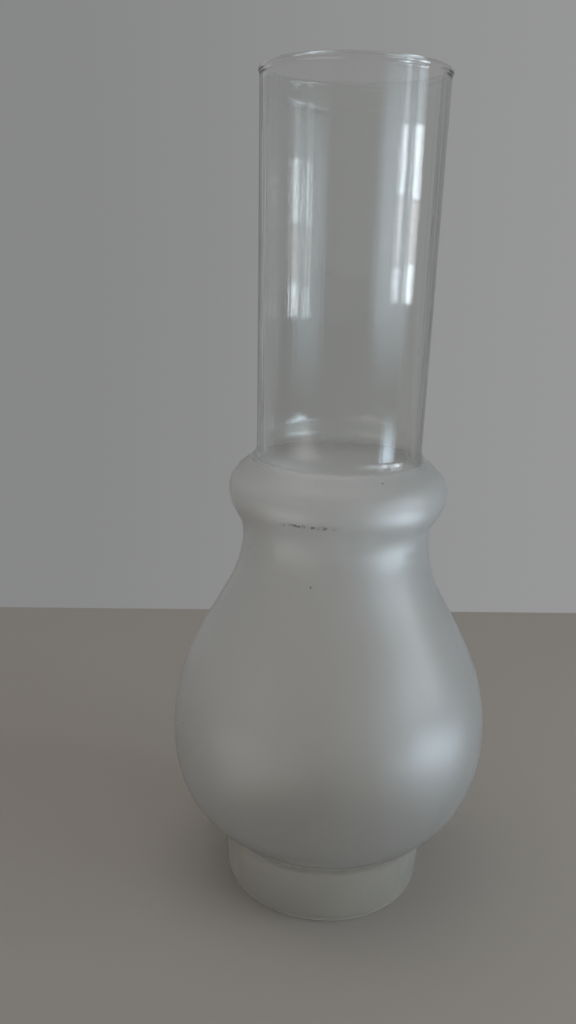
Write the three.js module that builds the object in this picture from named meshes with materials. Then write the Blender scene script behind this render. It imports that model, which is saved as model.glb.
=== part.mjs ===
// Chimney glass of an oil lamp, blown as one piece: a short collar that stands in the burner,
// a pear-shaped satin bulb, a narrow neck, a ring-shaped shoulder and a clear flue with a rounded lip.
// Millimetres, +Z up, origin on the axis at the foot's flat underside.
import * as THREE from "three";

// Foot: the rounded edge that the glass stands on, and the collar above it, which widens by its flare
// up to the crease under the bulb.
const footRadius = 30.5;
const rimHeight = 3;
const rimOuterRound = 1;
const rimInnerRound = 0.4;
const collarHeight = 20.4;
const collarFlare = 2;
const creaseRound = 3;

// Bulb: from the crease over the widest ring up to the neck.
const bellyRadius = 48.1;
const bellyRise = 30.6;
const bellyStartRun = 9.4;
const bellyStartRise = 5.1;

// Neck: its narrowest ring lies right under the shoulder.
const waistRadius = 27.6;
const waistRise = 62;
const neckLength = 22;

// Shoulder: a blown ring that bulges out between neck and flue.
const beadRadius = 31.8;
const beadRise = 13.9;

// Flue: the clear tube, which widens by its flare up to its top, the mouth for the hot air. The satin
// ends by its clear root, below the ring where the tube's straight wall starts.
const flueRadius = 24;
const flueFlare = 1.3;
const shoulderRise = 12.6;
const clearRoot = 3;
const flueLength = 100.5;

// Lip: the fire-polished edge, thicker than the wall and a little proud of it.
const lipRadius = 1;
const lipProud = 0.3;
const lipHeight = 2.6;

// Wall of the glass, thickest at the foot and thinnest where the bulb was blown widest.
const footWall = 2.4;
const bellyWall = 1.2;
const waistWall = 1.4;
const beadWall = 1.5;
const flueWall = 1.4;

// How far each curve runs on along its end direction, as a share of the curve's height.
const bellyLowerShare = 0.51;
const bellyUpperShare = 0.49;
const neckShare = 0.33;
const beadUndersideShares = [0.53, 0.49];
const shoulderShares = [0.58, 0.4];

// Steps of each curve, and flat sides of each ring.
const BELLY_LOWER_STEPS = 8;
const BELLY_UPPER_STEPS = 12;
const CREASE_STEPS = 3;
const BEAD_UNDERSIDE_STEPS = 8;
const SHOULDER_STEPS = 8;
const FLUE_STEPS = 2;
const ROUND_STEPS = 3;
const SIDES = 48;

// Heights of the rings that the outline passes through.
const bellyHeight = collarHeight + bellyRise;
const waistHeight = bellyHeight + waistRise;
const beadHeight = waistHeight + beadRise;
const flueFoot = beadHeight + shoulderRise;
const totalHeight = flueFoot + flueLength;
const flueTopRadius = flueRadius + flueFlare;

/** A point of the outline: its distance from the axis, and its height. */
const at = (radius, height) => new THREE.Vector2(radius, height);

/** The line over the outside of the glass, from the foot's lowest point to the top. */
function outsideLine() {
  const foot = at(footRadius, 0);
  const crease = at(footRadius + collarFlare, collarHeight);
  const belly = at(bellyRadius, bellyHeight);
  const waist = at(waistRadius, waistHeight);
  const bead = at(beadRadius, beadHeight);
  const flue = at(flueRadius, flueFoot);
  const upright = (share, rise) => at(0, share * rise);

  const bellyLower = new THREE.CubicBezierCurve(
    crease,
    crease.clone().add(at(bellyStartRun, bellyStartRise)),
    belly.clone().sub(upright(bellyLowerShare, bellyRise)),
    belly,
  );
  const bellyUpper = new THREE.CubicBezierCurve(
    belly,
    belly.clone().add(upright(bellyUpperShare, waistRise)),
    waist.clone().sub(upright(neckShare, waistRise)),
    waist,
  );
  const underside = new THREE.CubicBezierCurve(
    waist,
    waist.clone().add(upright(beadUndersideShares[0], beadRise)),
    bead.clone().sub(upright(beadUndersideShares[1], beadRise)),
    bead,
  );
  const shoulder = new THREE.CubicBezierCurve(
    bead,
    bead.clone().add(upright(shoulderShares[0], shoulderRise)),
    flue.clone().sub(upright(shoulderShares[1], shoulderRise)),
    flue,
  );

  // The crease is rounded: its curve leaves the collar below it and joins the bulb above it.
  const roundFoot = foot.clone().lerp(crease, 1 - creaseRound / foot.distanceTo(crease));
  const joinShare = creaseRound / bellyLower.getLength();
  const bellyPoints = [];
  for (let i = 0; i <= BELLY_LOWER_STEPS; i += 1) {
    bellyPoints.push(bellyLower.getPointAt(joinShare + (1 - joinShare) * (i / BELLY_LOWER_STEPS)));
  }
  const creaseCurve = new THREE.QuadraticBezierCurve(roundFoot, crease, bellyPoints[0]);

  return [
    foot,
    ...creaseCurve.getPoints(CREASE_STEPS),
    ...bellyPoints.slice(1),
    ...bellyUpper.getPoints(BELLY_UPPER_STEPS).slice(1),
    ...underside.getPoints(BEAD_UNDERSIDE_STEPS).slice(1),
    ...shoulder.getPoints(SHOULDER_STEPS).slice(1),
    ...new THREE.LineCurve(flue, at(flueTopRadius, totalHeight)).getPoints(FLUE_STEPS).slice(1),
  ];
}

/** The wall's thickness at a height, changing evenly from one ring of the outline to the next. */
function wallAt(height) {
  const rings = [
    [collarHeight, footWall],
    [bellyHeight, bellyWall],
    [waistHeight, waistWall],
    [beadHeight, beadWall],
    [flueFoot, flueWall],
  ];
  const above = rings.findIndex(([ring]) => ring > height);
  if (above === 0) return footWall;
  if (above < 0) return flueWall;
  const [lowHeight, lowWall] = rings[above - 1];
  const [highHeight, highWall] = rings[above];
  return THREE.MathUtils.mapLinear(height, lowHeight, highHeight, lowWall, highWall);
}

/** The line over the inside: each outside point moved square to the wall by its thickness. */
function insideLine(outside) {
  return outside.map((point, i) => {
    const before = outside[Math.max(i - 1, 0)];
    const after = outside[Math.min(i + 1, outside.length - 1)];
    const along = after.clone().sub(before).normalize();
    return at(point.x - along.y * wallAt(point.y), point.y + along.x * wallAt(point.y));
  });
}

/** A line's radius at a height between its ends, or at the nearer end beyond them. */
function radiusAt(line, height) {
  const above = Math.max(1, line.findIndex((point, i) => i > 0 && point.y >= height));
  const low = line[above - 1];
  const high = line[above];
  return low.x + ((high.x - low.x) * (height - low.y)) / (high.y - low.y);
}

/** The stretch of a line between two heights, cut exactly at both. */
function stretch(line, low, high) {
  const between = line.filter((point) => point.y > low && point.y < high);
  return [at(radiusAt(line, low), low), ...between, at(radiusAt(line, high), high)];
}

/** Points of a round with its centre and radius, from one angle in degrees to another. */
function round(centre, radius, from, to) {
  const points = [];
  for (let i = 0; i <= ROUND_STEPS; i += 1) {
    const angle = THREE.MathUtils.degToRad(THREE.MathUtils.lerp(from, to, i / ROUND_STEPS));
    points.push(at(centre.x + radius * Math.cos(angle), centre.y + radius * Math.sin(angle)));
  }
  return points;
}

const outside = outsideLine();
const inside = insideLine(outside);

/** A ring of wall between two heights, with flat ends that meet the next ring's. */
function wallSection(low, high) {
  return [...stretch(outside, low, high), ...stretch(inside, low, high).reverse()];
}

/** The foot's edge: rounded outside and inside, flat underneath, so that the glass stands on it. */
function rimSection() {
  const outer = at(footRadius - rimOuterRound, rimOuterRound);
  const inner = at(footRadius - footWall + rimInnerRound, rimInnerRound);
  return [
    ...round(inner, rimInnerRound, 180, 270),
    ...round(outer, rimOuterRound, 270, 360),
    at(radiusAt(outside, rimHeight), rimHeight),
    at(radiusAt(inside, rimHeight), rimHeight),
  ];
}

/** The lip: the wall swells into a half-round edge that stands a little proud of the flue. */
function lipSection() {
  const foot = totalHeight - lipHeight;
  const centre = at(flueTopRadius + lipProud - lipRadius, totalHeight - lipRadius);
  return [
    at(radiusAt(outside, foot), foot),
    ...round(centre, lipRadius, 0, 90),
    ...round(centre, lipRadius, 90, 180).slice(1),
    at(radiusAt(inside, foot), foot),
  ];
}

const clearGlass = { color: 0xdde4e2, roughness: 0.04, metalness: 0, transparent: true, opacity: 0.35 };
const satinGlass = { color: 0xb4b8b6, roughness: 0.55, metalness: 0, transparent: true, opacity: 0.85 };
const footGlass = { color: 0x9aa39a, roughness: 0.4, metalness: 0, transparent: true, opacity: 0.75 };

const chimney = new THREE.Group();

/** Turns a closed section round the axis and adds the ring to the chimney. */
function addRing(name, section, look) {
  const geometry = new THREE.LatheGeometry([...section, section[0]], SIDES).rotateX(Math.PI / 2);
  const ring = new THREE.Mesh(geometry, new THREE.MeshStandardMaterial(look));
  ring.name = name;
  chimney.add(ring);
}

const collarTop = collarHeight - creaseRound;
const neckFoot = waistHeight - neckLength;
const satinTop = flueFoot - clearRoot;
const lipFoot = totalHeight - lipHeight;

addRing("foot_rim", rimSection(), footGlass);
addRing("foot_collar", wallSection(rimHeight, collarTop), footGlass);
addRing("bulb_lower", wallSection(collarTop, bellyHeight), satinGlass);
addRing("bulb_upper", wallSection(bellyHeight, neckFoot), satinGlass);
addRing("neck", wallSection(neckFoot, waistHeight), satinGlass);
addRing("shoulder_bead", wallSection(waistHeight, satinTop), satinGlass);
addRing("flue", wallSection(satinTop, lipFoot), clearGlass);
addRing("flue_lip", lipSection(), clearGlass);

export default chimney;
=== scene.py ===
"""Dresses the chimney glass of an oil lamp: foot, satin bulb and neck, blown shoulder and clear flue.

The glass is one blown piece, so every sub-assembly takes its stretch of one shared wall. Each stretch is a
closed ring of its own. Where two stretches meet, both end in the same level face, which lets light pass
unchanged, so that the glass looks as unbroken as it is. Lengths are metres, and +Z points up the axis.
"""

import logging
import math
from dataclasses import dataclass
from enum import Enum

import bpy
import numpy as np
from mathutils import Matrix, Vector


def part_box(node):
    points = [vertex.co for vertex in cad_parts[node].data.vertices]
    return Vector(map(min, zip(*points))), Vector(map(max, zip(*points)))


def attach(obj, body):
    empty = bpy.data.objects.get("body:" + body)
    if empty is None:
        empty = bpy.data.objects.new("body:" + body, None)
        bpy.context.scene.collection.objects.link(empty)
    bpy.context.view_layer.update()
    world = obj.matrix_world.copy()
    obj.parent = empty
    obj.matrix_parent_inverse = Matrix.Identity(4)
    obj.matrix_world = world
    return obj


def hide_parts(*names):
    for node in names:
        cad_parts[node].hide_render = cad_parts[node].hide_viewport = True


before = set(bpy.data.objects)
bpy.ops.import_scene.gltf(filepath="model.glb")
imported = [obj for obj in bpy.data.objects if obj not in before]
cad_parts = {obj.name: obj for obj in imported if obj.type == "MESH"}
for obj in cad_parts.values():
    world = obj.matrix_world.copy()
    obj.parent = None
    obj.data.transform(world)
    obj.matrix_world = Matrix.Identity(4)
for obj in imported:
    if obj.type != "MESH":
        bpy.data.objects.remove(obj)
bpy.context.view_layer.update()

LOG = logging.getLogger("chimney")
MM = 0.001

Line = np.ndarray
Grid = np.ndarray
Colour = tuple[float, float, float]


class Side(Enum):
    """Which face of the wall a stretch of surface is, in the order of each piece's material slots."""

    OUTSIDE = 0
    INSIDE = 1
    JOIN = 2


class Slot(Enum):
    """The record's material slots."""

    CLEAR = "clear_glass"
    SATIN = "satin_glass"
    FOOT = "foot_glass"


def smooth_step(value: np.ndarray) -> np.ndarray:
    """Rises from 0 to 1 with level ends as the value goes from 0 to 1, by 3v squared less 2v cubed."""
    held = np.clip(value, 0.0, 1.0)
    return held * held * (3.0 - 2.0 * held)


def bezier(points: list[tuple[float, float]], steps: int) -> Line:
    """Draws a Bezier curve of any degree.

    Each point counts by its Bernstein weight, which is the binomial coefficient times t to the power of the
    point's number times (1 - t) to the power of what is left.

    Args:
        points: The curve's guide points as (radius, height).
        steps: How many steps the curve has.

    Returns:
        The points along the curve, one row each.
    """
    t = np.linspace(0.0, 1.0, steps + 1)[:, None]
    degree = len(points) - 1
    weights = [math.comb(degree, i) * t**i * (1 - t) ** (degree - i) for i in range(degree + 1)]
    return sum(weight * np.array(point) for weight, point in zip(weights, points))


def arc(centre: tuple[float, float], radius: float, start: float, end: float, steps: int) -> Line:
    """Draws an arc: centre + radius * (cosine, sine) of an angle from start to end, in degrees."""
    angle = np.radians(np.linspace(start, end, steps + 1))
    return np.array(centre) + radius * np.stack([np.cos(angle), np.sin(angle)], axis=1)


def length_along(line: Line) -> np.ndarray:
    """Returns the distance from the line's start to each of its points."""
    return np.concatenate([[0.0], np.cumsum(np.linalg.norm(np.diff(line, axis=0), axis=1))])


@dataclass(frozen=True)
class Foot:
    """The collar that stands in the burner, with the rounded edge under it."""

    radius: float = 30.5 * MM
    rim_height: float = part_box("foot_rim")[1].z
    collar_top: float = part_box("foot_collar")[1].z
    crease_height: float = 20.4 * MM
    crease_reach: float = 6.0 * MM
    flare: float = 2.0 * MM
    outer_round: float = 1.0 * MM
    inner_round: float = 0.4 * MM
    wall: float = 2.4 * MM

    @property
    def crease(self) -> tuple[float, float]:
        """The corner between collar and bulb, before it is rounded."""
        return (self.radius + self.flare, self.crease_height)


@dataclass(frozen=True)
class Bulb:
    """The pear-shaped body, up to the narrowest ring under the shoulder."""

    belly_radius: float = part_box("bulb_lower")[1].x
    belly_height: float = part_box("bulb_lower")[1].z
    neck_foot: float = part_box("neck")[0].z
    waist_radius: float = 27.6 * MM
    waist_height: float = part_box("neck")[1].z
    start_run: float = 9.4 * MM
    start_rise: float = 5.1 * MM
    belly_wall: float = 1.2 * MM
    waist_wall: float = 1.4 * MM
    lower_share: float = 0.51
    upper_share: float = 0.49
    neck_share: float = 0.33


@dataclass(frozen=True)
class Shoulder:
    """The blown ring that bulges out above the neck, and its slope up to the flue."""

    bead_radius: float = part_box("shoulder_bead")[1].x
    bead_rise: float = 13.9 * MM
    wall: float = 1.5 * MM
    underside_shares: tuple[float, float] = (0.53, 0.49)
    slope_shares: tuple[float, float] = (0.58, 0.40)


@dataclass(frozen=True)
class Flue:
    """The clear tube, slightly wider at its top, with its clear root on the shoulder and its lip."""

    foot_radius: float = 24.0 * MM
    top_radius: float = 25.3 * MM
    root: float = 3.0 * MM
    satin_top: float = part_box("flue")[0].z
    lip_foot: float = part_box("flue_lip")[0].z
    top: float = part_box("flue_lip")[1].z
    lip_round: float = 0.85 * MM
    lip_proud: float = 0.3 * MM
    wall: float = 1.4 * MM

    @property
    def foot_height(self) -> float:
        """The ring where the tube's straight wall starts."""
        return self.satin_top + self.root

    @property
    def lip_foot_radius(self) -> float:
        """The tube's outside radius where the lip starts, as far along its flare as that ring is high."""
        share = (self.lip_foot - self.foot_height) / (self.top - self.foot_height)
        return self.foot_radius + share * (self.top_radius - self.foot_radius)


@dataclass(frozen=True)
class Unevenness:
    """How far the hand-blown wall strays from a true turned shape."""

    sway: float = 0.10 * MM
    ripple: float = 0.06 * MM
    lip_dip: float = 0.16 * MM
    fade: float = 6 * MM
    lip_fade: float = 9 * MM
    inner_lag: float = 1.0
    turns: tuple[int, ...] = (2, 3, 5)
    ripple_turns: tuple[int, ...] = (4, 7, 11)
    leans: tuple[float, ...] = (2.1, -3.4, 5.3)

    def waves(self, angle: Grid, height: Grid, turns: tuple[int, ...], top: float) -> Grid:
        """Adds up waves round the axis that lean as they climb, from -1 to 1.

        Each wave is the cosine of (turns * angle + lean * share of the height), and counts by one over its
        place in the list, so that the slowest wave is the largest.

        Args:
            angle: Angle round the axis.
            height: Height above the foot.
            turns: How many times each wave goes up and down in one turn round the axis.
            top: Height of the whole glass.

        Returns:
            The sum of the waves, divided by the sum of their weights.
        """
        weights = [1 / (place + 1) for place in range(len(turns))]
        total = sum(
            weight * np.cos(count * angle + lean * height / top + count)
            for weight, count, lean in zip(weights, turns, self.leans)
        )
        return total / sum(weights)


class Wall:
    """The whole wall of the glass as one closed section, turned round the axis."""

    CURVE_STEPS = 1500
    ROUND_STEPS = 200
    PLACING_STEPS = 4000
    BEND_LENGTH = 8 * MM
    MOST_BEND = 0.05
    NORMAL_STEP = 0.05 * MM
    NORMAL_TURN = 0.002

    def __init__(self, foot: Foot, bulb: Bulb, shoulder: Shoulder, flue: Flue, uneven: Unevenness) -> None:
        """Draws the section from the underside, up the outside, over the lip and down the inside.

        Args:
            foot: Sizes of the foot.
            bulb: Sizes of the bulb and neck.
            shoulder: Sizes of the shoulder.
            flue: Sizes of the flue and lip.
            uneven: How the wall strays from the turned shape.
        """
        self.foot, self.bulb, self.shoulder, self.flue, self.uneven = foot, bulb, shoulder, flue, uneven
        outside = self.outside_line()
        inside = self.inside_line(outside)
        lip = self.lip_line()
        outer, inner = foot.outer_round, foot.inner_round
        outer_edge = arc((foot.radius - outer, outer), outer, 270, 360, self.ROUND_STEPS)
        inner_edge = arc((foot.radius - foot.wall + inner, inner), inner, 180, 270, self.ROUND_STEPS)
        middle = np.array([[foot.radius - (foot.wall + outer - inner) / 2, 0.0]])
        parts = [
            middle,
            outer_edge,
            outside[outside[:, 1] > outer],
            lip,
            inside[inside[:, 1] > inner][::-1],
            inner_edge,
            middle,
        ]
        self.section = np.concatenate(parts)
        self.along = length_along(self.section)
        self.turning_point = self.along[int(np.argmax(self.section[:, 1]))]

    def outside_line(self) -> Line:
        """Draws the outside from the foot's edge up to the lip as straight stretches and Bezier curves.

        Returns:
            The line, from the foot up.
        """
        foot, bulb, shoulder, flue = self.foot, self.bulb, self.shoulder, self.flue
        steps = self.CURVE_STEPS
        bead_height = bulb.waist_height + shoulder.bead_rise
        belly_rise = bulb.belly_height - foot.crease_height
        waist_rise = bulb.waist_height - bulb.belly_height
        slope_rise = flue.foot_height - bead_height
        crease_r, crease_z = foot.crease
        lower = bezier(
            [
                foot.crease,
                (crease_r + bulb.start_run, crease_z + bulb.start_rise),
                (bulb.belly_radius, bulb.belly_height - bulb.lower_share * belly_rise),
                (bulb.belly_radius, bulb.belly_height),
            ],
            steps,
        )
        upper = bezier(
            [
                (bulb.belly_radius, bulb.belly_height),
                (bulb.belly_radius, bulb.belly_height + bulb.upper_share * waist_rise),
                (bulb.waist_radius, bulb.waist_height - bulb.neck_share * waist_rise),
                (bulb.waist_radius, bulb.waist_height),
            ],
            2 * steps,
        )
        rise, fall = shoulder.underside_shares
        underside = bezier(
            [
                (bulb.waist_radius, bulb.waist_height),
                (bulb.waist_radius, bulb.waist_height + rise * shoulder.bead_rise),
                (shoulder.bead_radius, bead_height - fall * shoulder.bead_rise),
                (shoulder.bead_radius, bead_height),
            ],
            steps,
        )
        rise, fall = shoulder.slope_shares
        slope = bezier(
            [
                (shoulder.bead_radius, bead_height),
                (shoulder.bead_radius, bead_height + rise * slope_rise),
                (flue.foot_radius, flue.foot_height - fall * slope_rise),
                (flue.foot_radius, flue.foot_height),
            ],
            steps,
        )
        tube = bezier(
            [(flue.foot_radius, flue.foot_height), (flue.lip_foot_radius, flue.lip_foot)],
            steps,
        )

        # The crease is rounded from the collar's top to a place that lies its reach up the bulb.
        collar_start = (foot.radius, foot.outer_round)
        fallen = (foot.crease_height - foot.collar_top) / (foot.crease_height - foot.outer_round)
        collar_end = (crease_r + fallen * (foot.radius - crease_r), foot.collar_top)
        lower = lower[length_along(lower) >= foot.crease_reach]
        crease = bezier([collar_end, foot.crease, tuple(lower[0])], steps)
        collar = bezier([collar_start, collar_end], steps)
        return np.concatenate(
            [collar, crease[1:], lower[1:], upper[1:], underside[1:], slope[1:], tube[1:]]
        )

    def thickness(self, height: np.ndarray) -> np.ndarray:
        """Gives the wall's thickness at a height, changing evenly from one ring to the next.

        Args:
            height: Heights above the foot.

        Returns:
            The thickness at each height.
        """
        bulb, shoulder = self.bulb, self.shoulder
        heights = [
            self.foot.crease_height,
            bulb.belly_height,
            bulb.waist_height,
            bulb.waist_height + shoulder.bead_rise,
            self.flue.foot_height,
        ]
        walls = [self.foot.wall, bulb.belly_wall, bulb.waist_wall, shoulder.wall, self.flue.wall]
        return np.interp(height, heights, walls)

    def inside_line(self, outside: Line) -> Line:
        """Moves each point of the outside square to the wall by its thickness.

        Points that would turn the line back downwards are left out, so that it climbs all the way.

        Args:
            outside: The line over the outside, from the foot up.

        Returns:
            The line over the inside, from the foot up to the lip.
        """
        slope = np.gradient(outside, length_along(outside), axis=0)
        slope /= np.linalg.norm(slope, axis=1, keepdims=True)
        square = np.stack([-slope[:, 1], slope[:, 0]], axis=1)
        moved = outside + square * self.thickness(outside[:, 1])[:, None]
        climbing = moved[:, 1] >= np.maximum.accumulate(moved[:, 1])
        below_lip = moved[:, 1] < self.flue.lip_foot
        return moved[climbing & below_lip]

    def lip_line(self) -> Line:
        """Draws the lip: the wall swells on both sides in a soft curve and ends in a half round.

        Returns:
            The line from the lip's foot outside, over the top, to its foot inside.
        """
        flue = self.flue
        centre = (flue.top_radius + flue.lip_proud - flue.lip_round, flue.top - flue.lip_round)
        middle = (flue.lip_foot + centre[1]) / 2

        def swell(from_radius: float, to_radius: float) -> Line:
            """A soft step from the wall at the lip's foot to the start of the half round."""
            heights = (flue.lip_foot, middle, middle, centre[1])
            radii = (from_radius, from_radius, to_radius, to_radius)
            return bezier(list(zip(radii, heights)), self.ROUND_STEPS)

        outer = swell(flue.lip_foot_radius, centre[0] + flue.lip_round)
        inner = swell(flue.lip_foot_radius - flue.wall, centre[0] - flue.lip_round)[::-1]
        crown = arc(centre, flue.lip_round, 0, 180, 2 * self.ROUND_STEPS)
        return np.concatenate([outer[1:], crown[1:], inner[1:]])

    def place_at(self, height: float, side: Side) -> float:
        """Finds how far along the section a height lies, on one side of the wall.

        Args:
            height: Height above the foot.
            side: The side of the wall.

        Returns:
            The distance along the section.
        """
        rising = self.along <= self.turning_point
        if side is Side.OUTSIDE:
            return float(np.interp(height, self.section[rising, 1], self.along[rising]))
        falling = ~rising
        return float(np.interp(-height, -self.section[falling, 1], self.along[falling]))

    def places_between(self, start: float, end: float, rows: int) -> np.ndarray:
        """Spreads rows along the section, closer together where it bends more.

        A row's share of the way grows with the distance travelled plus the angle turned times a fixed
        length.

        Args:
            start: Place along the section of the first row.
            end: Place of the last row, which may lie past the section's end and so round its seam.
            rows: How many rows.

        Returns:
            The rows' places along the section.
        """
        fine = np.linspace(start, end, self.PLACING_STEPS)
        points = self.section_at(fine)
        turned = np.unwrap(np.arctan2(*np.gradient(points, axis=0).T[::-1]))
        bend = np.abs(np.diff(turned, prepend=turned[0]))
        turning = self.BEND_LENGTH * np.minimum(bend, self.MOST_BEND)
        effort = np.cumsum(np.diff(fine, prepend=start) + turning)
        return np.interp(np.linspace(effort[0], effort[-1], rows), effort, fine)

    def section_at(self, places: np.ndarray) -> Line:
        """Gives (radius, height) at places along the section, which closes on itself."""
        wrapped = np.mod(places, self.along[-1])
        return np.stack([np.interp(wrapped, self.along, self.section[:, i]) for i in (0, 1)], axis=-1)

    def surface(self, angle: np.ndarray, places: np.ndarray) -> Grid:
        """Turns places of the section round the axis and adds the wall's unevenness.

        A point lies at (r cos a, r sin a, z). Its r gives way inwards by a slow sway that both sides of
        the wall share, and by a finer ripple of each side's own, which fades out at the foot and at the
        lip. Its z dips a little towards the lip, by another slow wave.

        Args:
            angle: Angles round the axis, one for each column.
            places: Places along the section, one for each row.

        Returns:
            The points, by row, column and axis.
        """
        uneven, top = self.uneven, self.flue.top
        section = self.section_at(places)
        radius, height = section[:, :1], section[:, 1:]
        inner = (np.mod(places, self.along[-1]) > self.turning_point)[:, None]
        turn = np.asarray(angle)[None, :]
        ends = smooth_step(height / uneven.fade) * smooth_step((top - height) / uneven.fade)
        sway = uneven.sway * (uneven.waves(turn, height, uneven.turns, top) - 1) / 2
        own_turn = turn + np.where(inner, uneven.inner_lag, 0.0)
        ripple = uneven.ripple * (uneven.waves(own_turn, height, uneven.ripple_turns, top) - 1)
        moved = radius + smooth_step(height / uneven.fade) * sway + ends * ripple / 2
        dip = uneven.lip_dip * (uneven.waves(turn, height, uneven.turns, top) - 1) / 2
        lifted = height + dip * smooth_step((height - top + uneven.lip_fade) / uneven.lip_fade)
        return np.stack([moved * np.cos(turn), moved * np.sin(turn), lifted + 0 * turn], axis=-1)

    def normals(self, angle: np.ndarray, places: np.ndarray) -> Grid:
        """Measures the outward direction: the cross product of the steps round and along.

        Args:
            angle: Angles round the axis, one for each column.
            places: Places along the section, one for each row.

        Returns:
            A direction of length 1 for each point.
        """
        turn, step = self.NORMAL_TURN, self.NORMAL_STEP
        around = self.surface(angle + turn, places) - self.surface(angle - turn, places)
        along = self.surface(angle, places + step) - self.surface(angle, places - step)
        outward = np.cross(around, along)
        return outward / np.linalg.norm(outward, axis=-1, keepdims=True)


@dataclass(frozen=True)
class Ring:
    """One stretch of the wall between two level faces, as a closed mesh of its own."""

    node: str
    low: float
    high: float
    rows: int
    slot: Slot
    columns: int = 256

    @property
    def name(self) -> str:
        """The piece's name."""
        return f"{self.node}_glass"

    def stretches(self, wall: Wall) -> list[tuple[np.ndarray, Side]]:
        """Gives the rows of each stretch of surface, going the section's way round.

        A ring at the foot or at the lip has one stretch, which goes round the edge. Any other ring has two.

        Args:
            wall: The wall that the ring is cut from.

        Returns:
            Each stretch's places along the section, and the side that it starts on.
        """
        whole = wall.along[-1]
        outer_low, outer_high = (wall.place_at(z, Side.OUTSIDE) for z in (self.low, self.high))
        inner_low, inner_high = (wall.place_at(z, Side.INSIDE) for z in (self.low, self.high))
        if self.low <= 0:
            return [(wall.places_between(inner_high, whole + outer_high, 2 * self.rows), Side.INSIDE)]
        if self.high >= wall.flue.top:
            return [(wall.places_between(outer_low, inner_low, 2 * self.rows), Side.OUTSIDE)]
        return [
            (wall.places_between(outer_low, outer_high, self.rows), Side.OUTSIDE),
            (wall.places_between(inner_high, inner_low, self.rows), Side.INSIDE),
        ]

    def build(self, wall: Wall) -> bpy.types.Object:
        """Makes the ring's mesh, with the wall's own normals, so that no seam shows between two rings.

        Args:
            wall: The wall that the ring is cut from.

        Returns:
            The finished object, at the origin.
        """
        angle = np.linspace(0.0, 2 * math.pi, self.columns, endpoint=False)
        stretches = self.stretches(wall)
        places = np.concatenate([rows for rows, _ in stretches])
        points = wall.surface(angle, places)
        outward = wall.normals(angle, places)
        count = len(places)

        row, column = np.meshgrid(np.arange(count), np.arange(self.columns), indexing="ij")
        next_row, next_column = (row + 1) % count, (column + 1) % self.columns
        corners = [(row, column), (row, next_column), (next_row, next_column), (next_row, column)]
        faces = np.stack([r * self.columns + c for r, c in corners], axis=-1).reshape(-1, 4)

        last_rows = np.cumsum([len(rows) for rows, _ in stretches]) - 1
        is_join = np.isin(np.arange(count), last_rows)
        inner = np.mod(places, wall.along[-1]) > wall.turning_point
        face = np.where(inner, Side.INSIDE.value, Side.OUTSIDE.value)
        side_of_row = np.where(is_join, Side.JOIN.value, face)
        flat_up = np.zeros_like(outward)
        flat_up[..., 2] = np.where(points[..., 2] > (self.low + self.high) / 2, 1.0, -1.0)
        shown = np.where(is_join[row][..., None, None], 1.0, 0.0)
        smooth = np.stack([outward[r, c] for r, c in corners], axis=2)
        level = np.stack([flat_up[r, c] for r, c in corners], axis=2)
        corner_normals = (shown * level + (1 - shown) * smooth).reshape(-1, 3)

        mesh = bpy.data.meshes.new(self.name)
        mesh.from_pydata(points.reshape(-1, 3).tolist(), [], faces.tolist())
        mesh.polygons.foreach_set("use_smooth", np.ones(len(faces), dtype=bool))
        mesh.polygons.foreach_set("material_index", np.repeat(side_of_row, self.columns).astype(np.int32))
        mesh.normals_split_custom_set(corner_normals)
        mesh.update()
        piece = bpy.data.objects.new(self.name, mesh)
        bpy.context.scene.collection.objects.link(piece)
        return piece


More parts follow.
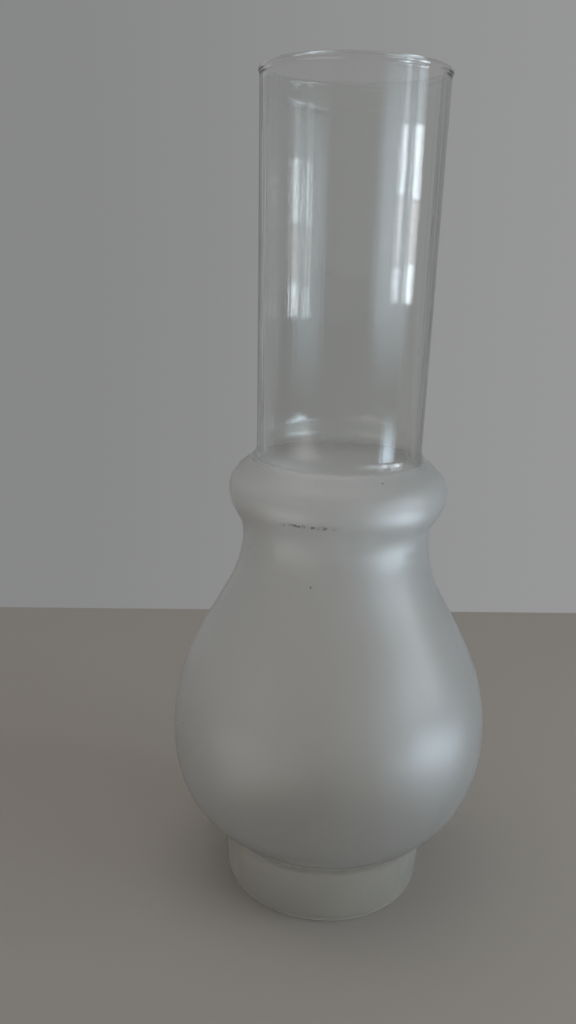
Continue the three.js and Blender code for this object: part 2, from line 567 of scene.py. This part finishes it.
class Nodes:
    """A node tree, with short calls for the nodes that finishes, lamps and room use."""

    def __init__(self, tree: bpy.types.NodeTree) -> None:
        """Takes the tree that the nodes are added to."""
        self.tree = tree

    def node(self, kind: str, inputs: dict | None = None, **settings: object) -> bpy.types.Node:
        """Adds a node.

        Args:
            kind: The node's type, without the leading ShaderNode.
            inputs: What each input socket is set to, or the output socket that it is linked to.
            settings: The node's own properties.

        Returns:
            The new node.
        """
        made = self.tree.nodes.new(f"ShaderNode{kind}")
        for key, value in settings.items():
            setattr(made, key, value)
        for key, value in (inputs or {}).items():
            if isinstance(value, bpy.types.NodeSocket):
                self.tree.links.new(value, made.inputs[key])
            else:
                made.inputs[key].default_value = value
        return made

    def math(self, operation: str, *values: object) -> bpy.types.NodeSocket:
        """Adds a Math node and returns its value."""
        return self.node("Math", dict(enumerate(values)), operation=operation).outputs[0]

    def mix(self, factor: object, low: object, high: object) -> bpy.types.NodeSocket:
        """Mixes two colours by a factor and returns the colour."""
        made = self.node("Mix", {"Factor": factor, 6: low, 7: high}, data_type="RGBA")
        return made.outputs[2]

    def ramp(
        self, value: object, low: float, high: float, at_low: float, at_high: float
    ) -> bpy.types.NodeSocket:
        """Maps a value between two limits smoothly onto two others and returns it."""
        limits = {"Value": value, "From Min": low, "From Max": high, "To Min": at_low, "To Max": at_high}
        return self.node("MapRange", limits, interpolation_type="SMOOTHSTEP").outputs[0]

    def blend(self, factor: object, low: object, high: object) -> bpy.types.NodeSocket:
        """Mixes two numbers by a factor and returns the number."""
        return self.node("Mix", {"Factor": factor, 2: low, 3: high}, data_type="FLOAT").outputs[0]

    def axes(self, vector: bpy.types.NodeSocket) -> list[bpy.types.NodeSocket]:
        """Splits a vector into its three parts."""
        return list(self.node("SeparateXYZ", {"Vector": vector}).outputs)

    def places(self, scale: tuple[float, float, float] = (1.0, 1.0, 1.0)) -> bpy.types.NodeSocket:
        """Gives the object's own coordinates, stretched along each axis."""
        coordinates = self.node("TexCoord").outputs["Object"]
        return self.node("Mapping", {"Vector": coordinates, "Scale": scale}).outputs[0]

    def noise(
        self, places: bpy.types.NodeSocket, scale: float, detail: float = 2.0
    ) -> bpy.types.NodeSocket:
        """Gives a noise between 0 and 1 at the places."""
        look = {"Vector": places, "Scale": scale, "Detail": detail}
        return self.node("TexNoise", look).outputs["Fac"]


class Shader(Nodes):
    """A material with its node tree."""

    def __init__(self, name: str) -> None:
        """Starts a material with only its output node.

        Args:
            name: The material's name.
        """
        self.material = bpy.data.materials.new(name)
        self.material.use_nodes = True
        super().__init__(self.material.node_tree)
        self.tree.nodes.clear()
        self.output = self.tree.nodes.new("ShaderNodeOutputMaterial")

    def finish(self, surface: bpy.types.Node) -> bpy.types.Material:
        """Links the surface shader to the output and returns the material."""
        self.tree.links.new(surface.outputs[0], self.output.inputs["Surface"])
        return self.material


def opaque(colour: Colour) -> tuple[float, float, float, float]:
    """A colour with an alpha of 1, as a socket wants it."""
    return (*colour, 1.0)


@dataclass(frozen=True)
class FrostEdge:
    """The upper end of the etching: it thins out unevenly over the shoulder's slope and the flue's root."""

    full: float = 134.6 * MM
    gone: float = 139.8 * MM
    ragged: float = 1.0 * MM
    scale: float = 260.0
    detail: float = 3.0

    def roughness(self, shader: Shader, etched: object, clear: object) -> bpy.types.NodeSocket:
        """Gives the roughness at each height.

        Args:
            shader: The material.
            etched: Roughness of the etched glass.
            clear: Roughness of the clear glass.

        Returns:
            The roughness, which goes from etched to clear over the edge.
        """
        places = shader.places()
        wander = shader.noise(places, self.scale, self.detail)
        height = shader.math("MULTIPLY_ADD", wander, self.ragged, shader.axes(places)[2])
        return shader.blend(shader.ramp(height, self.full, self.gone, 0.0, 1.0), etched, clear)


@dataclass(frozen=True)
class Specks:
    """Small dark specks, strewn thinly: each sits in a cell of its own, and half the cells are bare."""

    cells: float = 110.0
    kept: float = 0.45
    radius: float = 0.04
    core: float = 0.5
    colour: Colour = (0.10, 0.09, 0.08)

    def mask(self, shader: Shader, places: bpy.types.NodeSocket) -> bpy.types.NodeSocket:
        """Finds the specks.

        Args:
            shader: The material.
            places: The object's coordinates.

        Returns:
            1 on a speck and 0 elsewhere.
        """
        cells = shader.node("TexVoronoi", {"Vector": places, "Scale": self.cells, "Randomness": 1.0})
        near = shader.ramp(cells.outputs["Distance"], self.radius * self.core, self.radius, 1.0, 0.0)
        lot = shader.node("SeparateColor", {"Color": cells.outputs["Color"]}).outputs[0]
        return shader.math("MULTIPLY", near, shader.math("LESS_THAN", lot, self.kept))


@dataclass(frozen=True)
class Grime:
    """Dirt that stayed in a ring round the glass, over a part of the ring only."""

    height: float = 123.4 * MM
    spread: float = 0.8 * MM
    wander: float = 0.96 * MM
    wander_scale: float = 120.0
    facing: tuple[float, float] = (-0.24, -0.97)
    reach: float = 0.955
    scale: float = 900.0
    detail: float = 3.0
    crumbs: tuple[float, float] = (0.44, 0.60)
    colour: Colour = (0.07, 0.065, 0.06)

    def mask(self, shader: Shader) -> bpy.types.NodeSocket:
        """Finds the dirt, where a noise, the ring's height and the way that the glass faces all agree.

        Args:
            shader: The material.

        Returns:
            Up to 1 on the dirt and 0 elsewhere.
        """
        places = shader.places()
        height = shader.axes(places)[2]
        sway = shader.noise(places, self.wander_scale)
        sway = shader.math("MULTIPLY_ADD", sway, 2 * self.wander, -self.wander)
        middle = shader.math("ADD", sway, self.height)
        off = shader.math("ABSOLUTE", shader.math("SUBTRACT", height, middle))
        ring = shader.ramp(off, 0.0, self.spread, 1.0, 0.0)
        level = shader.node("Mapping", {"Vector": places, "Scale": (1.0, 1.0, 0.0)}).outputs[0]
        way = shader.node("VectorMath", {0: level}, operation="NORMALIZE").outputs[0]
        facing = {0: way, 1: (*self.facing, 0.0)}
        turned = shader.node("VectorMath", facing, operation="DOT_PRODUCT").outputs["Value"]
        part = shader.ramp(turned, self.reach, 1.0, 0.0, 1.0)
        noise = shader.noise(places, self.scale, self.detail)
        crumbs = shader.ramp(noise, *self.crumbs, 0.0, 1.0)
        return shader.math("MULTIPLY", shader.math("MULTIPLY", ring, part), crumbs)


@dataclass(frozen=True)
class SatinGlass:
    """Etched glass: it scatters what passes through and shines softly.

    Towards the foot it takes on the foot's tone, and at the flue's root it fades into the clear glass.
    """

    name: str = Slot.SATIN.value
    colour: Colour = (0.98, 0.975, 0.96)
    cloud_colour: Colour = (0.96, 0.955, 0.94)
    foot_colour: Colour = (0.99, 0.985, 0.94)
    foot_reach: tuple[float, float] = (17.4 * MM, 22.0 * MM)
    clearness: float = 0.92
    foot_clearness: float = 0.85
    sheen: float = 1.0
    foot_sheen: float = 0.5
    roughness: float = 0.335
    rougher: float = 0.375
    foot_roughness: float = 0.15
    index: float = 1.5
    cloud_scale: float = 45.0
    cloud_detail: float = 3.0
    cloud_range: tuple[float, float] = (0.3, 0.7)
    grain_scale: float = 2600.0
    grain_detail: float = 1.0
    grain_depth: float = 0.02 * MM
    grain_strength: float = 0.25

    def material(self) -> bpy.types.Material:
        """Builds the satin: clouds vary its tone and roughness, and a fine grain its relief.

        Returns:
            The material.
        """
        of_foot = self.name == Slot.FOOT.value
        shader = Shader(self.name)
        places = shader.places()
        height = shader.axes(places)[2]
        clouds = shader.noise(places, self.cloud_scale, self.cloud_detail)
        grain = shader.noise(places, self.grain_scale, self.grain_detail)
        relief = shader.node(
            "Bump",
            {"Height": grain, "Distance": self.grain_depth, "Strength": self.grain_strength},
        )
        up = shader.ramp(height, *self.foot_reach, 0.0, 1.0)
        tone = shader.mix(clouds, opaque(self.cloud_colour), opaque(self.colour))
        tone = shader.mix(up, opaque(self.foot_colour), tone)
        grime = Grime()
        tone = shader.mix(grime.mask(shader), tone, opaque(grime.colour))
        specks = Specks()
        tone = shader.mix(specks.mask(shader, places), tone, opaque(specks.colour))
        etched = shader.ramp(clouds, *self.cloud_range, self.roughness, self.rougher)
        etched = shader.blend(up, self.foot_roughness, etched)
        surface = shader.node(
            "BsdfPrincipled",
            {
                "Base Color": tone,
                "Roughness": FrostEdge().roughness(shader, etched, ClearGlass.roughness),
                "IOR": self.index,
                "Specular IOR Level": self.foot_sheen if of_foot else self.sheen,
                "Transmission Weight": self.foot_clearness if of_foot else self.clearness,
                "Normal": relief.outputs[0],
            },
        )
        return shader.finish(surface)


@dataclass(frozen=True)
class ClearGlass:
    """Clear drawn glass, with fine lines along the draw and a few specks."""

    name: str = Slot.CLEAR.value
    colour: Colour = (0.90, 0.91, 0.90)
    roughness: float = 0.03
    index: float = 1.5
    line_scale: float = 1000.0
    line_detail: float = 3.0
    line_stretch: float = 0.006
    line_depth: float = 0.05 * MM
    line_strength: float = 0.9
    lip_strength: float = 0.05
    melt_below: float = 2 * MM
    melt_above: float = 1 * MM

    def material(self) -> bpy.types.Material:
        """Builds the clear glass: its relief is a noise drawn out along the axis, melted smooth at the lip.

        Returns:
            The material.
        """
        shader = Shader(self.name)
        places = shader.places()
        lip_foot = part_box("flue_lip")[0].z
        melted = (lip_foot - self.melt_below, lip_foot + self.melt_above)
        height = shader.axes(places)[2]
        strength = shader.ramp(height, *melted, self.line_strength, self.lip_strength)
        drawn = shader.places((1.0, 1.0, self.line_stretch))
        lines = shader.noise(drawn, self.line_scale, self.line_detail)
        relief = shader.node("Bump", {"Height": lines, "Distance": self.line_depth, "Strength": strength})
        specks = Specks()
        tone = shader.mix(specks.mask(shader, places), opaque(self.colour), opaque(specks.colour))
        surface = shader.node(
            "BsdfPrincipled",
            {
                "Base Color": tone,
                "Roughness": FrostEdge().roughness(shader, SatinGlass.roughness, self.roughness),
                "IOR": self.index,
                "Transmission Weight": 1.0,
                "Normal": relief.outputs[0],
            },
        )
        return shader.finish(surface)


@dataclass(frozen=True)
class JoinFace:
    """The level face where two rings of the same glass meet: nothing shows of it."""

    name: str = "join_face"

    def material(self) -> bpy.types.Material:
        """Builds a surface that is wholly open."""
        shader = Shader(self.name)
        return shader.finish(shader.node("BsdfPrincipled", {"Alpha": 0.0, "Roughness": 1.0}))


@dataclass(frozen=True)
class Paint:
    """A plain matt colour for the floor."""

    name: str
    colour: Colour
    roughness: float = 0.9

    def material(self) -> bpy.types.Material:
        """Builds the matt colour."""
        shader = Shader(self.name)
        look = {"Base Color": opaque(self.colour), "Roughness": self.roughness}
        return shader.finish(shader.node("BsdfPrincipled", look))


class Chimney:
    """The whole glass: its rings, each with the finish of its stretch."""

    def __init__(self, wall: Wall) -> None:
        """Lists the rings from the foot up, each with its rows on one side, and makes their finishes.

        Args:
            wall: The wall that the rings are cut from.
        """
        foot, bulb, flue = wall.foot, wall.bulb, wall.flue
        self.wall = wall
        self.rings = [
            Ring("foot_rim", 0.0, foot.rim_height, 24, Slot.FOOT),
            Ring("foot_collar", foot.rim_height, foot.collar_top, 16, Slot.FOOT),
            Ring("bulb_lower", foot.collar_top, bulb.belly_height, 70, Slot.SATIN),
            Ring("bulb_upper", bulb.belly_height, bulb.neck_foot, 60, Slot.SATIN),
            Ring("neck", bulb.neck_foot, bulb.waist_height, 34, Slot.SATIN),
            Ring("shoulder_bead", bulb.waist_height, flue.satin_top, 80, Slot.SATIN),
            Ring("flue", flue.satin_top, flue.lip_foot, 60, Slot.CLEAR),
            Ring("flue_lip", flue.lip_foot, flue.top, 40, Slot.CLEAR),
        ]
        satin = SatinGlass().material()
        clear = ClearGlass().material()
        foot_glass = SatinGlass(Slot.FOOT.value).material()
        join = JoinFace().material()
        self.finishes = {
            Slot.CLEAR: (clear, clear, join),
            Slot.SATIN: (satin, satin, join),
            Slot.FOOT: (foot_glass, foot_glass, join),
        }

    def make(self) -> None:
        """Builds and dresses every ring, and lets each stand for its CAD node."""
        for ring in self.rings:
            piece = ring.build(self.wall)
            for material in self.finishes[ring.slot]:
                piece.data.materials.append(material)
            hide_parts(ring.node)
            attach(piece, "root")
            reach = (ring.low / MM, ring.high / MM)
            LOG.info("%s: %d faces, %.1f to %.1f mm", ring.name, len(piece.data.polygons), *reach)


@dataclass(frozen=True)
class Camera:
    """The viewer's place: close to the glass, lower than its lip, looking slightly down."""

    distance: float = 0.2710
    height: float = 0.1968
    down: float = 0.2803
    turn: float = -0.0528
    roll: float = 0.0296
    lens: float = 33.395
    sensor: float = 36.0
    nearest: float = 0.01
    farthest: float = 50.0

    def make(self) -> None:
        """Builds the camera from its right, up and backward directions."""
        right = Vector((math.cos(self.turn), -math.sin(self.turn), 0.0))
        ahead = Vector(
            (
                math.sin(self.turn) * math.cos(self.down),
                math.cos(self.turn) * math.cos(self.down),
                -math.sin(self.down),
            )
        )
        up = right.cross(ahead)
        rolled_right = math.cos(self.roll) * right + math.sin(self.roll) * up
        rolled_up = math.cos(self.roll) * up - math.sin(self.roll) * right
        turned = Matrix((rolled_right, rolled_up, -ahead)).transposed()
        data = bpy.data.cameras.new("camera")
        data.lens, data.sensor_width = self.lens, self.sensor
        data.clip_start, data.clip_end = self.nearest, self.farthest
        camera = bpy.data.objects.new("camera", data)
        camera.matrix_world = Matrix.Translation((0.0, -self.distance, self.height)) @ turned.to_4x4()
        bpy.context.scene.collection.objects.link(camera)
        bpy.context.scene.camera = camera


@dataclass(frozen=True)
class SoftLamp:
    """A rectangular soft lamp that faces a point and fades out towards its sides and its ends."""

    name: str
    place: tuple[float, float, float]
    aim: tuple[float, float, float]
    width: float
    height: float
    radiance: float
    colour: Colour = (1.0, 1.0, 1.0)
    fades: tuple[float, float] = (0.3, 0.3)

    def make(self) -> None:
        """Builds the lamp, which itself isn't seen.

        A flat lamp's power is its radiance times pi times its area.
        """
        data = bpy.data.lights.new(self.name, "AREA")
        data.shape = "RECTANGLE"
        data.size, data.size_y = self.width, self.height
        data.energy, data.color = self.radiance * math.pi * self.width * self.height, self.colour
        data.use_nodes = True
        nodes = Nodes(data.node_tree)
        strength = 1.0
        spot = nodes.axes(nodes.node("NewGeometry").outputs["Parametric"])
        for along, fade in zip(spot, self.fades):
            off = nodes.math("ABSOLUTE", nodes.math("MULTIPLY_ADD", along, 2.0, -1.0))
            strength = nodes.math("MULTIPLY", nodes.ramp(off, 1.0 - fade, 1.0, 1.0, 0.0), strength)
        data.node_tree.links.new(strength, data.node_tree.nodes["Emission"].inputs["Strength"])
        lamp = bpy.data.objects.new(self.name, data)
        facing = (Vector(self.aim) - Vector(self.place)).to_track_quat("-Z", "Y")
        lamp.matrix_world = Matrix.Translation(self.place) @ facing.to_matrix().to_4x4()
        lamp.visible_camera = False
        bpy.context.scene.collection.objects.link(lamp)


@dataclass(frozen=True)
class Window:
    """A window beside the glass: lamps for its panes and for the pale stretches round them.

    Every lamp stands upright round the axis, at the distance. A column gives the bearing in degrees, from
    the viewer's side towards the right, the width and how bright it is. A row gives the lower and upper
    edge, the radiance and the colour. A stretch gives all of these for one lamp.
    """

    distance: float = 0.47
    columns: tuple[tuple[float, float, float], ...] = ((84.5, 0.115, 0.95), (63.5, 0.052, 0.95))
    rows: tuple[tuple[float, float, float, Colour], ...] = (
        (0.216, 0.268, 8.5, (0.84, 0.93, 1.0)),
        (0.170, 0.222, 4.0, (0.95, 0.93, 0.95)),
        (0.145, 0.174, 9.0, (0.84, 0.93, 1.0)),
        (0.264, 0.310, 2.0, (0.78, 0.90, 1.0)),
        (0.330, 0.430, 3.4, (0.68, 0.86, 1.0)),
    )
    stretches: tuple[tuple[float, float, float, float, float], ...] = (
        (60.0, 0.62, 0.070, 0.340, 2.0),
        (68.0, 0.21, -0.100, 0.070, 8.4),
    )
    cool: Colour = (0.68, 0.86, 1.0)
    pane_fades: tuple[float, float] = (0.25, 0.12)
    stretch_fades: tuple[float, float] = (0.7, 0.7)

    def lamps(self) -> list[SoftLamp]:
        """Places the lamps of panes and stretches.

        Returns:
            The lamps, the panes first.
        """
        shapes = [
            (f"pane_{i}_{j}", bearing, width, low, high, share * radiance, colour, self.pane_fades)
            for i, (bearing, width, share) in enumerate(self.columns)
            for j, (low, high, radiance, colour) in enumerate(self.rows)
        ]
        shapes += [
            (f"stretch_{i}", *shape, self.cool, self.stretch_fades)
            for i, shape in enumerate(self.stretches)
        ]
        made = []
        for name, bearing, width, low, high, radiance, colour, fades in shapes:
            angle, middle = math.radians(bearing), (low + high) / 2
            place = (self.distance * math.sin(angle), -self.distance * math.cos(angle), middle)
            aim = (0.0, 0.0, middle)
            made.append(SoftLamp(name, place, aim, width, high - low, radiance, colour, fades))
        return made


@dataclass(frozen=True)
class Room:
    """The even grey all round: a wall ahead that pales to the right, a darker room behind the viewer.

    The stops give how bright the room is at places from the left, at 0, to the right, at 1.
    """

    wall: Colour = (0.272, 0.274, 0.274)
    behind: Colour = (0.285, 0.28, 0.265)
    stops: tuple[tuple[float, float], ...] = ((0.22, 1.25), (0.33, 0.89), (0.63, 1.12), (0.78, 0.94))
    turning: float = 0.6

    def make(self) -> None:
        """Builds the world: its colour goes with the direction looked at."""
        world = bpy.data.worlds.new("surroundings")
        world.use_nodes = True
        nodes = Nodes(world.node_tree)
        across, ahead, _ = nodes.axes(nodes.node("TexCoord").outputs["Generated"])
        share = nodes.ramp(ahead, -self.turning, self.turning, 0.0, 1.0)
        tone = nodes.mix(share, opaque(self.behind), opaque(self.wall))
        scale = nodes.node("ValToRGB", {"Fac": nodes.math("MULTIPLY_ADD", across, 0.5, 0.5)})
        scale.color_ramp.interpolation = "EASE"
        points = scale.color_ramp.elements
        while len(points) < len(self.stops):
            points.new(1.0)
        for point, (place, bright) in zip(points, self.stops):
            point.position, point.color = place, (bright, bright, bright, 1.0)
        background = world.node_tree.nodes["Background"]
        world.node_tree.links.new(tone, background.inputs["Color"])
        world.node_tree.links.new(scale.outputs["Color"], background.inputs["Strength"])
        bpy.context.scene.world = world


@dataclass(frozen=True)
class Studio:
    """The plain floor, the room and the soft lamps, of which two lie on the floor and face up."""

    floor_colour: Colour = (0.385, 0.35, 0.315)
    floor_reach: float = 3.0
    floor_back: float = 0.218
    floor_turn: float = 0.104
    lamps: tuple[SoftLamp, ...] = (
        SoftLamp(
            name="bright_floor",
            place=(0.345, -0.14, 0.001),
            aim=(0.345, -0.14, 1.0),
            width=0.40,
            height=0.40,
            radiance=6.7,
            colour=(0.68, 0.86, 1.0),
            fades=(0.5, 0.5),
        ),
        SoftLamp(
            name="left_floor",
            place=(-0.32, -0.29, 0.001),
            aim=(-0.32, -0.29, 1.0),
            width=0.56,
            height=0.56,
            radiance=1.1,
            colour=(1.0, 0.97, 0.94),
            fades=(0.5, 0.5),
        ),
        SoftLamp(
            name="ceiling",
            place=(-0.2, -0.1, 1.2),
            aim=(0.0, 0.0, 0.1),
            width=1.2,
            height=1.2,
            radiance=0.8,
        ),
    )

    def make(self) -> None:
        """Builds floor, room and lamps."""
        reach, back = self.floor_reach, self.floor_back
        corners = [(-reach, -reach, 0.0), (reach, -reach, 0.0), (reach, back, 0.0), (-reach, back, 0.0)]
        turned = Matrix.Rotation(self.floor_turn, 3, "Z")
        corners = [turned @ Vector(corner) for corner in corners]
        mesh = bpy.data.meshes.new("floor")
        mesh.from_pydata(corners, [], [(0, 1, 2, 3)])
        mesh.materials.append(Paint("floor_paint", self.floor_colour).material())
        floor = bpy.data.objects.new("floor", mesh)
        bpy.context.scene.collection.objects.link(floor)
        Room().make()
        for lamp in (*self.lamps, *Window().lamps()):
            lamp.make()


def main() -> None:
    """Builds the camera, the studio and the glass, and reports each piece."""
    logging.basicConfig(level=logging.INFO, format="%(name)s: %(message)s")
    bpy.context.scene.view_settings.view_transform = "Standard"
    Camera().make()
    Studio().make()
    Chimney(Wall(Foot(), Bulb(), Shoulder(), Flue(), Unevenness())).make()


if __name__ == "__main__":
    main()
